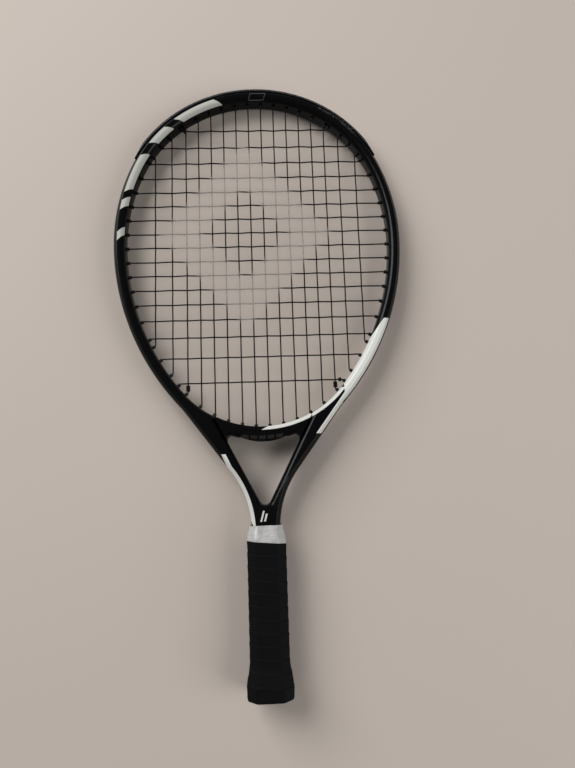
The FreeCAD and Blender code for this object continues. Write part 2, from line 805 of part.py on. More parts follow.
def section(owner, name, y, width, height, cut):
    """Octagon sketch on the plane across the handle, at a distance from its end."""
    drawing = sketch(owner, name, loop(octagon(width, height, cut)), "XZ_Plane")
    drawing.AttachmentOffset = Placement(Vector(0, 0, -y), Rotation())
    return drawing


def loft(owner, name, kind, stations):
    """Loft of octagons; stations hold distance from the end, width, height and corner cut."""
    drawings = [section(owner, f"{name}_{n}", *station) for n, station in enumerate(stations, 1)]
    feature = owner.newObject(f"PartDesign::{kind}Loft", name)
    feature.Profile = drawings[0]
    feature.Sections = drawings[1:]
    feature.Ruled = True
    doc.recompute()
    return feature


def shell(name, outside, inside):
    """Hollow lofted sleeve: outside and inside stations."""
    owner = body(name)
    loft(owner, name + "Outside", "Additive", outside)
    loft(owner, name + "Inside", "Subtractive", inside)
    return owner


def grown(y, base, growth):
    """Station at y whose octagon stands off the base section by growth on every side."""
    w, t, cut = base
    return y, w + 2 * growth, t + 2 * growth, cut + growth * (2 - math.sqrt(2))


pallet_section = (size("pallet_width"), size("pallet_height"), size("pallet_corner"))
tube_section = (2 * size("neck_half"), size("tube_depth"), size("outer_bevel"))
cap_section = (size("cap_width"), size("cap_height"), size("pallet_corner") + 2.0)
fit = size("shaft_clearance")
grip, wrap = size("grip_thickness"), size("overgrip_thickness")
cap_floor, cap_length = size("cap_floor"), size("cap_length")
cap_flat, cap_round = size("cap_flat"), size("cap_round")
pallet_top, taper_top = size("pallet_top"), size("pallet_top") + size("grip_taper")

pallet = body("PalletBlank")
flat(pallet, "PalletPad", "Pad", section(pallet, "PalletOutline", *grown(cap_floor, pallet_section, 0)),
     "Sizes.pallet_top - Sizes.cap_floor")
shaft_line = section(pallet, "ShaftOutline", *grown(size("shaft_end"), tube_section, fit))
flat(pallet, "ShaftSlot", "Pocket", shaft_line, "Sizes.pallet_top")
front_area = box("FrontArea", Vector(-FAR, 0, 0), Vector(FAR, FAR, FAR))
back_area = box("BackArea", Vector(-FAR, 0, -FAR), Vector(FAR, FAR, 0))
front = combine("Common", "HandleFront", pallet, front_area)
back = combine("Common", "HandleBack", pallet, back_area)

plug_width = size("neck_half") - size("channel_depth") - 2 * size("tube_wall")
plug_depth = size("tube_depth") - 2 * size("face_wall")
plugs = []
for side in (1, -1):
    plug = doc.addObject("Part::Box", "Plug_right" if side > 0 else "Plug_left")
    plug.Length = plug_width
    plug.setExpression("Width", "Sizes.plug_length")
    plug.setExpression("Height", "Sizes.tube_depth - 2 * Sizes.face_wall")
    low_x = size("tube_wall") if side > 0 else -size("tube_wall") - plug_width
    plug.Placement = Placement(Vector(low_x, size("shaft_end"), -plug_depth / 2), Rotation())
    plugs.append(plug)
finish("shaft_plugs", group("ShaftPlugs", plugs))

cap = shell("ButtCap",
            [grown(0, cap_section, -cap_round), grown(cap_round, cap_section, 0),
             grown(cap_flat, cap_section, 0), grown(cap_length, pallet_section, grip)],
            [grown(cap_floor, pallet_section, 0), grown(cap_length, pallet_section, 0)])
recess = sketch(cap, "DiscRecess", [], "XZ_Plane")
recess.addGeometry(Part.Circle(Vector(0, 0, 0), Vector(0, 0, 1), size("disc_diameter") / 2), False)
flat(cap, "DiscPocket", "Pocket", recess, "Sizes.disc_thickness")

disc = doc.addObject("Part::Cylinder", "Disc")
disc.setExpression("Radius", "Sizes.disc_diameter / 2 - Sizes.strip_clearance")
disc.setExpression("Height", "Sizes.disc_thickness")
disc.Placement = Placement(Vector(0, 0, 0), Rotation(Vector(0, 0, 1), Vector(0, 1, 0)))
finish("butt_cap_disc", disc)


def staple(name, side):
    """Wire staple: its crown is pressed flush into the cap's side flat, its legs go through to
    the handle shell."""
    wire, y, span = size("staple_wire"), size("staple_place"), size("staple_width")
    slope = (cap_section[0] / 2 - pallet_section[0] / 2 - grip) / (cap_length - cap_flat)
    outside = cap_section[0] / 2 - slope * (y + wire - cap_flat)
    inside = pallet_section[0] / 2 - 1.0
    members = [box(f"{name}_crown", Vector(outside - wire, y, -span / 2),
                   Vector(outside, y + wire, span / 2))]
    for end, z in (("low", -span / 2), ("high", span / 2 - wire)):
        members.append(box(f"{name}_leg_{end}", Vector(inside, y, z), Vector(outside, y + wire, z + wire)))
    whole = doc.addObject("Part::MultiFuse", name)
    whole.Shapes = members
    whole.Placement = Placement(Vector(), Rotation(Vector(0, 1, 0), 0 if side > 0 else 180))
    return whole


staples = [staple("Staple_right", 1), staple("Staple_left", -1)]
slots = doc.addObject("Part::MultiFuse", "StapleHoles")
slots.Shapes = staples
doc.recompute()
finish("butt_cap", combine("Cut", "ButtCapHoled", cap, slots))
finish("butt_cap_staples", group("ButtCapStaples", staples))
finish("handle_shell_front", combine("Cut", "HandleFrontHoled", front, slots))
finish("handle_shell_back", combine("Cut", "HandleBackHoled", back, slots))

tape_foot, tape_top = size("tape_bottom"), size("tape_top")
film = size("tape_thickness")
neck_gap, grip_edge = 0.25, 0.5
finish("base_grip", shell("BaseGrip",
                          [grown(cap_length, pallet_section, grip),
                           grown(pallet_top, pallet_section, grip),
                           grown(taper_top, tube_section, neck_gap + grip_edge)],
                          [grown(cap_length, pallet_section, 0),
                           grown(pallet_top, pallet_section, 0),
                           grown(taper_top, tube_section, neck_gap)]))
finish("overgrip", shell("Overgrip",
                         [grown(0.4 * cap_round, cap_section, wrap - 0.4 * cap_round),
                          grown(cap_round, cap_section, wrap), grown(cap_flat, cap_section, wrap),
                          grown(cap_length, pallet_section, grip + wrap),
                          grown(tape_foot, pallet_section, grip + wrap)],
                         [grown(0.4 * cap_round, cap_section, -0.6 * cap_round),
                          grown(cap_round, cap_section, 0), grown(cap_flat, cap_section, 0),
                          grown(cap_length, pallet_section, grip),
                          grown(tape_foot, pallet_section, grip)]))
finish("finishing_tape", shell("FinishingTape",
                               [grown(tape_foot, pallet_section, grip + wrap + film),
                                grown(pallet_top, pallet_section, grip + film),
                                grown(taper_top, tube_section, neck_gap + grip_edge + film),
                                grown(tape_top, tube_section, neck_gap + film)],
                               [grown(tape_foot, pallet_section, grip),
                                grown(pallet_top, pallet_section, grip),
                                grown(taper_top, tube_section, neck_gap + grip_edge),
                                grown(tape_top, tube_section, neck_gap)]))

# ---- place every sub-part in the racket's own frame, check it and write it ----

total_length = size("tube_tip") + size("guard_thickness")
total_height = size("cap_height") + 2 * wrap
to_frame = Placement(Vector(0, -total_length / 2, total_height / 2), Rotation())
for node, thing in finished.items():
    thing.Placement = to_frame.multiply(thing.Placement)
doc.recompute()

for thing in doc.Objects:
    if {"Invalid", "Error"} & set(thing.State):
        raise RuntimeError(f"{thing.Name} failed: {thing.State}")
for node, thing in finished.items():
    if thing.Shape.isNull() or not thing.Shape.isValid():
        raise RuntimeError(f"{node} has no valid shape")

os.makedirs("parts", exist_ok=True)
for node, thing in finished.items():
    thing.Shape.exportStep(f"parts/{node}.step")
    extent = thing.Shape.BoundBox
    print(f"{node}: {len(thing.Shape.Solids)} solids, {thing.Shape.Volume:.0f} mm3, "
          f"{extent.XLength:.1f} x {extent.YLength:.1f} x {extent.ZLength:.1f}")
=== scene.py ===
import math
import bmesh
import bpy
from mathutils import Matrix, Vector


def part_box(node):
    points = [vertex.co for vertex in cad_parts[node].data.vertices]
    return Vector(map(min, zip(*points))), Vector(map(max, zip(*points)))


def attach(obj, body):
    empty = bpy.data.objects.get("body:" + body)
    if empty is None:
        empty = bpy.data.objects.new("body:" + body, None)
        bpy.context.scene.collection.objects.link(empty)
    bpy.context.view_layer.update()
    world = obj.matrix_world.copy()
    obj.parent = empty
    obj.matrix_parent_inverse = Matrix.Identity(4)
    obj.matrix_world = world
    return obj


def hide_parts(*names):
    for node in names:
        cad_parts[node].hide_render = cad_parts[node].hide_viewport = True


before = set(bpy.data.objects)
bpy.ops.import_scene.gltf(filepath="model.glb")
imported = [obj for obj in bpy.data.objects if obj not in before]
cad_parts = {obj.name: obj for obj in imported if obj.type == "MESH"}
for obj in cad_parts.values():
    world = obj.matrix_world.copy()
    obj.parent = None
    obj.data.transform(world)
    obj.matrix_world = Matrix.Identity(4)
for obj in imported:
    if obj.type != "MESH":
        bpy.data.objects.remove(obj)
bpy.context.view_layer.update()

# ---- where things are ----
# Sizes below are in millimetres: x = 0 is the long axis, y = 0 the end of the handle, z = 0 the plane
# of the strings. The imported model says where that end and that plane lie.

MM = 0.001
butt_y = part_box("butt_cap")[0].y
plane_z = (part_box("frame_tube")[0].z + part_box("frame_tube")[1].z) / 2
HERE = Matrix.Translation((0, butt_y, plane_z)) @ Matrix.Scale(MM, 4)

# ---- frame ----
# One hollow carbon tube bent like a hairpin: the hoop, two throat arms and the shafts that run down
# into the handle. Moulded, filled, painted gloss black with white flashes, and lacquered.


class Shade:
    """A shader socket: Python's operators add Math nodes, and make adds any other node."""

    def __init__(self, tree, socket):
        self.tree, self.socket = tree, socket

    def make(self, kind, settings, inputs, out=0):
        node = self.tree.nodes.new(kind)
        for name, value in settings.items():
            if name == "stops":
                while len(node.color_ramp.elements) < len(value):
                    node.color_ramp.elements.new(0.5)
                for stop, (place, grey) in zip(node.color_ramp.elements, value):
                    stop.position, stop.color = place, (grey, grey, grey, 1)
            else:
                setattr(node, name, value)
        for name, value in inputs.items():
            if isinstance(value, Shade):
                self.tree.links.new(value.socket, node.inputs[name])
            else:
                node.inputs[name].default_value = value
        return Shade(self.tree, node.outputs[out])

    def math(self, operation, *values):
        return self.make("ShaderNodeMath", {"operation": operation}, dict(enumerate(values)))

    def __add__(self, other): return self.math("ADD", self, other)
    def __sub__(self, other): return self.math("SUBTRACT", self, other)
    def __rsub__(self, other): return self.math("SUBTRACT", other, self)
    def __mul__(self, other): return self.math("MULTIPLY", self, other)
    def __truediv__(self, other): return self.math("DIVIDE", self, other)
    def __neg__(self): return self.math("MULTIPLY", self, -1.0)
    def __abs__(self): return self.math("ABSOLUTE", self)
    def __or__(self, other): return self.math("MAXIMUM", self, other)
    __radd__, __rmul__ = __add__, __mul__


def new_finish(name, colour, roughness, **sockets):
    """A material, its Principled shader, and the place on the racket in millimetres as x, y, z."""
    material = bpy.data.materials.new(name)
    material.use_nodes = True
    tree = material.node_tree
    shader = tree.nodes["Principled BSDF"]
    shader.inputs["Base Color"].default_value = (*colour, 1)
    shader.inputs["Roughness"].default_value = roughness
    for socket, value in sockets.items():
        shader.inputs[socket.replace("_", " ")].default_value = value
    place = Shade(tree, tree.nodes.new("ShaderNodeTexCoord").outputs["Object"])
    place = place.make("ShaderNodeVectorMath", {"operation": "SUBTRACT"},
                       {0: place, 1: (0, butt_y, plane_z)})
    place = place.make("ShaderNodeVectorMath", {"operation": "SCALE"}, {0: place, "Scale": 1 / MM})
    xyz = [place.make("ShaderNodeSeparateXYZ", {}, {0: place}, axis) for axis in range(3)]
    return material, shader, place, xyz


def feed(shader, socket, value):
    value.tree.links.new(value.socket, shader.inputs[socket])


def inside(distance, blur=0.12):
    """1 where a signed distance in millimetres is negative, 0 where it is positive."""
    return distance.make("ShaderNodeMapRange", {}, {0: distance, 1: -blur, 2: blur, 3: 1.0, 4: 0.0})


def layered(under, mask, over):
    """Colour over covers colour under where mask is 1."""
    over = over if isinstance(over, Shade) else (*over, 1)
    under = under if isinstance(under, Shade) else (*under, 1)
    return mask.make("ShaderNodeMix", {"data_type": "RGBA"}, {0: mask, 6: under, 7: over}, 2)


def noise(place, scale, detail=3.0, stretch=(1, 1, 1)):
    """Even noise of about 0.5, with scale in lumps per millimetre."""
    place = place.make("ShaderNodeVectorMath", {"operation": "MULTIPLY"}, {0: place, 1: stretch})
    return place.make("ShaderNodeTexNoise", {}, {"Vector": place, "Scale": scale, "Detail": detail})


def bumped(shader, height, strength, distance):
    bump = height.make("ShaderNodeBump", {}, {"Height": height, "Strength": strength,
                                              "Distance": distance * MM})
    feed(shader, "Normal", bump)


def racket_piece(name, shape, material, soft_angle=35):
    """Object from a bmesh drawn in millimetres, smooth except at edges sharper than soft_angle."""
    bmesh.ops.recalc_face_normals(shape, faces=shape.faces)
    for face in shape.faces:
        face.smooth = True
    mesh = bpy.data.meshes.new(name)
    shape.to_mesh(mesh)
    shape.free()
    mesh.transform(HERE)
    mesh.set_sharp_from_angle(angle=math.radians(soft_angle))
    mesh.materials.append(material)
    piece = bpy.data.objects.new(name, mesh)
    bpy.context.scene.collection.objects.link(piece)
    return piece


TIP = 584.4
HOOP_TURNS = ((136.0, 66.0, 56), (193.0, 24.0, 24), (245.0, 42.0, 50))
CHANNEL_HALF_WIDTH, CHANNEL_DEPTH = 3.5, 2.6
TUBE_WIDTH = 11.5
FORK_CENTRE, FORK_RADIUS = Vector((152.31, 194.37, 0)), 100.0
ARM_ANGLE = 36.7295
NECK_CENTRE, NECK_RADIUS = Vector((103.0, 145.0, 0)), 90.0
BRIDGE_CENTRE, BRIDGE_RADIUS = Vector((0, 337.27, 0)), 97.244
ARM_INNER_ANGLE = 27.5
THROAT_CENTRE, THROAT_ROUND = Vector((0, 173.05, 0)), 5.0
GROOVE_END = 230.0
SHAFT_END = 138.0


def bearing(degrees):
    """Unit vector at an angle from the tip's direction towards the right."""
    return Vector((math.sin(math.radians(degrees)), math.cos(math.radians(degrees)), 0))


def rounded_outline(corners, roundings):
    """Closed face in the x = 0 plane from (y, z) corners, each rounded by its own amount."""
    shape = bmesh.new()
    verts = [shape.verts.new((0, y, z)) for y, z in corners]
    shape.faces.new(verts)
    for vert, rounding in zip(verts, roundings):
        if rounding:
            bmesh.ops.bevel(shape, geom=[vert], affect="VERTICES", offset=rounding, segments=4,
                            profile=0.5, material=-1)
    return shape


# Half of the tube's section as (distance in, height, rounding), from the channel to the inner wall.
half_tube = [(CHANNEL_DEPTH, CHANNEL_HALF_WIDTH, 0.3), (0.0, CHANNEL_HALF_WIDTH, 0.3), (0.0, 6.3, 1.6),
             (3.7, 10.5, 0.5), (8.3, 10.1, 1.6), (11.3, 6.6, 2.2)]
corners = [(TIP - inset, z) for inset, z, _ in half_tube]
corners += [(TIP - inset, -z) for inset, z, _ in half_tube[::-1]]
roundings = [rounding for *_, rounding in half_tube + half_tube[::-1]]
tube = rounded_outline(corners, roundings)
bmesh.ops.delete(tube, geom=tube.faces[:], context="FACES_ONLY")
ring = tube.verts[:] + tube.edges[:]


def turned(shape, ring, centre, degrees, steps):
    """Spin the last ring about a centre, clockwise seen from above; give the new last ring."""
    return bmesh.ops.spin(shape, geom=ring, cent=centre, axis=(0, 0, -1), steps=steps,
                          angle=math.radians(degrees))["geom_last"]


centre = Vector((0, TIP - HOOP_TURNS[0][0], 0))
heading = 0.0
hoop_centres = []
for number, (radius, degrees, steps) in enumerate(HOOP_TURNS):
    if number:
        centre += bearing(heading) * (HOOP_TURNS[number - 1][0] - radius)
    hoop_centres.append(centre.copy())
    ring = turned(tube, ring, centre, degrees, steps)
    heading += degrees


def lengthened(shape, ring, vec):
    """Extrude the last ring along vec; give the new last ring."""
    edges = [g for g in ring if isinstance(g, bmesh.types.BMEdge)]
    grown = bmesh.ops.extrude_edge_only(shape, edges=edges)
    moved = {g for g in grown["geom"] if isinstance(g, bmesh.types.BMVert)}
    bmesh.ops.translate(shape, verts=list(moved), vec=vec)
    return list(moved) + [g for g in grown["geom"]
                          if isinstance(g, bmesh.types.BMEdge) and set(g.verts) <= moved]


WIDEST_ARM, PAST_MIDDLE = 26.0, 4.0
INNER_SIDE, CHANNEL_REACH = 4.6, 4.0
GROOVE_FILL = 0.9
MIDDLE_SNAP = 2e-3


def arm_width(edge, inward):
    """Width of the tube from a point on its outer edge to the hoop's, the arm's or the throat's
    inner edge, or past the middle where both arms have joined."""
    widths = [WIDEST_ARM]
    across = bearing(90 + ARM_INNER_ANGLE)
    on_arm = THROAT_CENTRE + across * THROAT_ROUND
    distance = across.dot(on_arm - edge) / across.dot(inward)
    if (edge + inward * distance).y > on_arm.y:
        widths.append(distance)
    for centre, radius in ((BRIDGE_CENTRE, BRIDGE_RADIUS), (THROAT_CENTRE, THROAT_ROUND)):
        along = (centre - edge).dot(inward)
        gap = (centre - edge).length_squared - along ** 2
        if gap < radius ** 2:
            widths.append(along - math.sqrt(radius ** 2 - gap))
    if len(widths) == 1:
        widths.append(edge.x / -inward.x + PAST_MIDDLE)
    return min(widths)


def fit_ring(ring, edge, inward, old_width, sink):
    """Move the ring's inner side to the width that the arm has here, and close the groove."""
    width = arm_width(edge, inward)
    for vert in (v for v in ring if isinstance(v, bmesh.types.BMVert)):
        depth = (vert.co - edge).dot(inward)
        if depth > INNER_SIDE:
            vert.co += inward * (width - old_width)
        elif depth > 0.05 and abs(vert.co.z) < CHANNEL_REACH:
            vert.co -= inward * min(sink, depth)
    return width


start = centre + bearing(heading) * HOOP_TURNS[-1][0]
width = TUBE_WIDTH
edge, inward = start, -bearing(heading)
fork_turn = heading - 90 - ARM_ANGLE
FORK_STEPS, ARM_STEPS, NECK_STEPS = 14, 60, 40
for step in range(1, FORK_STEPS + 1):
    ring = turned(tube, ring, FORK_CENTRE, -fork_turn / FORK_STEPS, 1)
    inward = -bearing(heading - fork_turn * step / FORK_STEPS)
    edge = FORK_CENTRE + inward * FORK_RADIUS
    width = fit_ring(ring, edge, inward, width, 0)
arm_start = edge.copy()
arm_end = NECK_CENTRE - bearing(ARM_ANGLE + 90) * NECK_RADIUS
stride = (arm_end - edge) / ARM_STEPS
for step in range(ARM_STEPS):
    ring = lengthened(tube, ring, stride)
    edge = edge + stride
    width = fit_ring(ring, edge, inward, width, GROOVE_FILL if edge.y < GROOVE_END else 0)
for step in range(1, NECK_STEPS + 1):
    ring = turned(tube, ring, NECK_CENTRE, -ARM_ANGLE / NECK_STEPS, 1)
    inward = bearing(270 + ARM_ANGLE * (1 - step / NECK_STEPS))
    edge = NECK_CENTRE - bearing(90 + ARM_ANGLE * (1 - step / NECK_STEPS)) * NECK_RADIUS
    width = fit_ring(ring, edge, inward, width, 0)
lengthened(tube, ring, Vector((0, SHAFT_END - edge.y, 0)))
bmesh.ops.bisect_plane(tube, geom=tube.verts[:] + tube.edges[:] + tube.faces[:], dist=1e-4,
                       plane_co=(0, 0, 0), plane_no=(1, 0, 0), clear_inner=True)
bmesh.ops.mirror(tube, geom=tube.verts[:] + tube.edges[:] + tube.faces[:], axis="X",
                 merge_dist=MIDDLE_SNAP)
bmesh.ops.remove_doubles(tube, verts=tube.verts[:], dist=MIDDLE_SNAP / 2)
bmesh.ops.holes_fill(tube, edges=[e for e in tube.edges if e.is_boundary])

BLACK, WHITE, BADGE_GREY = (0.0018, 0.0018, 0.0022), (0.74, 0.74, 0.70), (0.11, 0.11, 0.115)
BAR_WHITE, POCKET_GREY, SCRAPE_GREY = (0.55, 0.55, 0.50), (0.035, 0.033, 0.030), (0.32, 0.31, 0.30)
paint, shader, place, (x, y, z) = new_finish("gloss_black_paint", BLACK, 0.25, Coat_Roughness=0.08,
                                             Specular_IOR_Level=0.12)


def from_line(x, y, start, end):
    """Signed distance from the line through two points: negative on its right-hand side."""
    run = Vector(end) - Vector(start)
    run.normalize()
    return (y - start[1]) * run[0] - (x - start[0]) * run[1]


def from_point(x, y, point):
    squared = (x - point[0]) * (x - point[0]) + (y - point[1]) * (y - point[1])
    return squared.math("SQRT", squared)


def all_of(*distances):
    """Signed distance from the area that lies inside every one of several edges."""
    area = distances[0]
    for distance in distances[1:]:
        area = area | distance
    return area


# Distance in from the hoop's outer edge, one arc at a time.
side = abs(x)
tip_depth, side_depth, low_depth = [radius - from_point(side, y, middle)
                                    for (radius, _, _), middle in zip(HOOP_TURNS, hoop_centres)]
tip_arc_end = hoop_centres[0] + bearing(HOOP_TURNS[0][1]) * HOOP_TURNS[0][0]
in_tip = inside(from_line(side, y, tip_arc_end.xy, hoop_centres[0].xy), 0.01)
above_middle = inside(hoop_centres[1].y - y, 0.01)
below_tip = above_middle * side_depth + (1.0 - above_middle) * low_depth
depth = in_tip * tip_depth + (1.0 - in_tip) * below_tip

# The right-hand flash: one band down the hoop that splits into two prongs at the arm.
band = inside(all_of(from_line(x, y, (104.4, 320.8), (119.0, 340.6)), y - 340.8, 1.4 - low_depth,
                     262.0 - y, 77.8 - x))
band = band * (1.0 - inside(all_of(from_line(x, y, (52.0, 244.0), (75.9, 269.8)),
                                   from_line(x, y, (75.9, 269.8), (49.5, 232.1)))))
on_bridge = from_point(x, y, BRIDGE_CENTRE) - BRIDGE_RADIUS
hook = inside(all_of(on_bridge - 3.3, from_line(x, y, (-2.4, 236.4), (6.4, 241.0)),
                     x - 78.0, y - 275.0))
arm_depth = from_line(side, y, arm_end.xy, arm_start.xy)
neck_depth = from_point(side, y, NECK_CENTRE) - NECK_RADIUS
spike = inside(all_of(1.1 - arm_depth, arm_depth - 5.0, 231.8 - y, y - 270.0, -x))
flash = band | hook | spike

# The left arm's flash, on its outer edge, with a slanted top end.
on_neck = inside(y - arm_end.y, 0.01)
low_edge = on_neck * neck_depth + (1.0 - on_neck) * arm_depth
flash = flash | inside(all_of(x, low_edge - 3.7 - ((y - 204.0) | 0.0) * 0.22, y - 215.2,
                              from_line(x, y, (-34.8, 204.2), (-38.9, 213.8))))

# Plain slanted bars on the upper left of the hoop, where the real one carries lettering.
BAR_SLANT = 0.45
around = (-x).math("ARCTAN2", -x, y - 425.0) * (180 / math.pi) + (depth - 6.0) * BAR_SLANT
BAR_ANGLES = ((14.7, 31.7), (36.5, 45.4), (51.3, 68.1), (71.7, 75.9), (85.5, 89.2))
bars = None
for first, last in BAR_ANGLES:
    bar = inside(abs(around - (first + last) / 2) - (last - first) / 2, 0.1)
    bars = bar if bars is None else bars | bar
bars = bars * inside(all_of(4.3 - depth, depth - 10.7)) * inside(x)

# A thin outlined badge at the tip and two short strokes at the neck, both plain.
badge_corners = [(-3.6, 579.6), (11.7, 579.5), (9.6, 574.0), (-5.3, 574.1)]
badge = all_of(*[from_line(x, y, start, end)
                 for start, end in zip(badge_corners, badge_corners[1:] + badge_corners[:1])])
badge = inside(abs(badge) - 0.2, 0.08)
stroke = x - (y - 163.0) * 0.28
strokes = inside(all_of(abs(stroke + 1.6) - 0.8, abs(y - 158.0) - 4.8)) \
    | inside(all_of(abs(stroke - 1.8) - 0.8, abs(y - 156.8) - 3.4))

# Scrapes along the outer edge on the right, and five shallow pockets in the web of the bridge.
specks = noise(place, 0.75, 4.0)
specks = specks.make("ShaderNodeMapRange", {}, {0: specks, 1: 0.55, 2: 0.60, 3: 0.0, 4: 0.9})
specks = specks * inside(all_of(depth - 3.8, 66.0 - x, x - 101.0), 1.5)
POCKETS, POCKET_PITCH = 5, 8.0
along_web = x + 1.0
row_half = POCKETS * POCKET_PITCH / 2
pocket = (along_web + row_half).math("MODULO", along_web + row_half, POCKET_PITCH) - POCKET_PITCH / 2
row_y = 229.7 + along_web * along_web * 0.0048
pockets = inside(all_of(abs(pocket) - 3.1, abs(along_web) - row_half, abs(y - row_y) - 1.5), 0.5)

grime = noise(place, 0.09, 4.0)
coloured = layered(BLACK, badge, BADGE_GREY)
coloured = layered(coloured, pockets, POCKET_GREY)
coloured = layered(coloured, specks, SCRAPE_GREY)
coloured = layered(coloured, bars, BAR_WHITE)
coloured = layered(coloured, (flash | strokes) * (0.93 + grime * 0.07), WHITE)
feed(shader, "Base Color", coloured)
wear = noise(place, 1.1, 5.0)
wear = wear.make("ShaderNodeMapRange", {}, {0: wear, 1: 0.35, 2: 0.75, 3: 0.16, 4: 0.30})
feed(shader, "Roughness", wear)
feed(shader, "Coat Weight", 0.05 + flash * 0.3)
bumped(shader, noise(place, 0.55, 3.0), 0.10, 0.4)
frame_skin = racket_piece("frame_skin", tube, paint)
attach(frame_skin, "root")
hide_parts("frame_tube")

# ---- throat bridge ----
# The short moulded bar that closes the hoop between the arms, with a thin lens-shaped web below it.
# It is bonded in and painted with the frame, so it shares the frame's paint.


def cover(node, material):
    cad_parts[node].data.materials.clear()
    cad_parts[node].data.materials.append(material)


cover("throat_bridge", paint)

# ---- bumper guard and grommet strips ----
# Flexible nylon mouldings pressed into the tube's outer channel, with a sleeve through each hole. The
# guard over the tip takes the scrapes from the court, so its outer face is scuffed to a lighter grey.

nylon, shader, place, _ = new_finish("black_nylon", (0.004, 0.004, 0.0045), 0.5,
                                     Specular_IOR_Level=0.3)
rough = noise(place, 2.2, 4.0)
feed(shader, "Roughness", 0.38 + rough * 0.3)
bumped(shader, rough, 0.25, 0.15)
GUARD_BLACK, SCUFF_GREY = (0.005, 0.005, 0.0055), (0.26, 0.26, 0.25)
scuffed, shader, place, (x, y, z) = new_finish("scuffed_nylon", GUARD_BLACK, 0.55,
                                               Specular_IOR_Level=0.3)
height = from_point(x, y, hoop_centres[0])
scratches = noise(place, 1.3, 6.0, (1.0, 1.0, 3.5)) + noise(place, 5.0, 3.0) * 0.35
worn = scratches.make("ShaderNodeMapRange", {}, {0: scratches, 1: 0.72, 2: 0.86, 3: 0.0, 4: 1.0})
outside = inside(HOOP_TURNS[0][0] + 0.4 - height, 0.8)
feed(shader, "Base Color", layered(GUARD_BLACK, worn * outside, SCUFF_GREY))
feed(shader, "Roughness", 0.45 + worn * 0.35)
bumped(shader, scratches, 0.5, 0.25)
for node, finish in (("bumper_guard", scuffed), ("grommet_strip_left", nylon),
                     ("grommet_strip_right", nylon), ("throat_grommet_strip", nylon)):
    cover(node, finish)

# ---- strings and knots ----
# Black multifilament string, woven over and under, with a pale ink stencil across the middle of the
# bed: here a plain hollow diamond. The ink is worn where the ball lands.

STRING_BLACK, INK = (0.003, 0.002, 0.002), (0.36, 0.33, 0.30)
DIAMOND_X, DIAMOND_Y, DIAMOND_HALF_WIDTH, DIAMOND_HALF_HEIGHT = -12.6, 434.0, 84.0, 96.0
string, shader, place, (x, y, z) = new_finish("black_string", STRING_BLACK, 0.42,
                                              Specular_IOR_Level=0.15)
diamond = abs(x - DIAMOND_X) / DIAMOND_HALF_WIDTH + abs(y - DIAMOND_Y) / DIAMOND_HALF_HEIGHT
inked = inside((abs(diamond - 0.76) - 0.24) * 80.0, 4.0)
worn = noise(place, 0.5, 4.0)
worn = worn.make("ShaderNodeMapRange", {}, {0: worn, 1: 0.3, 2: 0.5, 3: 0.72, 4: 1.0})
feed(shader, "Base Color", layered(STRING_BLACK, inked * worn, INK))
feed(shader, "Roughness", 0.38 + inked * 0.25)
bumped(shader, noise(place, 6.0, 2.0), 0.15, 0.05)
for node in ("main_string", "cross_string", "tie_off_knots"):
    cover(node, string)

# ---- overgrip ----
# A thin tacky strip wound in a spiral from the butt up to the finishing tape. Each turn laps the one
# before it, which leaves a slanted step about every 11 mm.

GRIP_TOP, BUTT_FOLD = 135.5, 1.2
LAP, LAP_STEP = 11.0, 0.42
FLARE_FOOT, FLARE_LENGTH, TUCK_HEIGHT = 13.0, 17.0, 5.0
PALLET, BUTT = (35.2, 31.0, 7.3), (41.3, 37.0, 8.6)


def rounded_octagon(width, height, cut, rounding):
    """A rectangle with cut corners, standing across the handle at y = 0."""
    a, b = width / 2, height / 2
    corners = [(a, b - cut), (a - cut, b), (cut - a, b), (-a, b - cut),
               (-a, cut - b), (cut - a, -b), (a - cut, -b), (a, cut - b)]
    shape = rounded_outline(corners, [rounding] * 8)
    bmesh.ops.delete(shape, geom=shape.faces[:], context="FACES_ONLY")
    bmesh.ops.rotate(shape, verts=shape.verts[:], matrix=Matrix.Rotation(math.radians(-90), 3, "Z"))
    long_edges = [edge for edge in shape.edges if edge.calc_length() > rounding]
    bmesh.ops.subdivide_edges(shape, edges=long_edges, cuts=7)
    return shape


def flared(height):
    """Size of the grip's section, against its size above the butt, at a distance from the end."""
    butt = 1.0 - min(max((height - FLARE_FOOT) / FLARE_LENGTH, 0.0), 1.0)
    tuck = max(0.0, TUCK_HEIGHT - height)
    return (1 + butt * (BUTT[0] / PALLET[0] - 1) - 0.0028 * tuck ** 2,
            1 + butt * (BUTT[1] / PALLET[1] - 1) - 0.0030 * tuck ** 2)


wrap = rounded_octagon(*PALLET, 1.3)
ring = wrap.verts[:] + wrap.edges[:]
bmesh.ops.translate(wrap, verts=wrap.verts[:], vec=(0, BUTT_FOLD, 0))
RINGS = 200
for step in range(RINGS):
    ring = lengthened(wrap, ring, Vector((0, (GRIP_TOP - BUTT_FOLD) / RINGS, 0)))
for vert in wrap.verts:
    wide, tall = flared(vert.co.y)
    turn = math.atan2(vert.co.z, vert.co.x) / math.tau
    lap = ((vert.co.y - LAP * turn) / LAP) % 1.0
    lift = LAP_STEP * lap ** 1.6 - 0.2 * math.exp(-((lap - 0.04) / 0.03) ** 2)
    ease = min(max((vert.co.y - 4.0) / 8.0, 0.15), 1.0)
    reach = math.hypot(vert.co.x, vert.co.z)
    swell = 1 + ease * (lift - 0.08) / reach
    vert.co.x *= wide * swell
    vert.co.z *= tall * swell
bmesh.ops.holes_fill(wrap, edges=[edge for edge in wrap.edges if edge.is_boundary])
tacky, shader, place, _ = new_finish("tacky_black_wrap", (0.0016, 0.0016, 0.0019), 0.8,
                                     Specular_IOR_Level=0.11)
handled = noise(place, 0.06, 3.0)
grain = noise(place, 3.2, 2.0)
feed(shader, "Base Color", layered((0.0012, 0.0012, 0.0015), handled, (0.0035, 0.0035, 0.0039)))
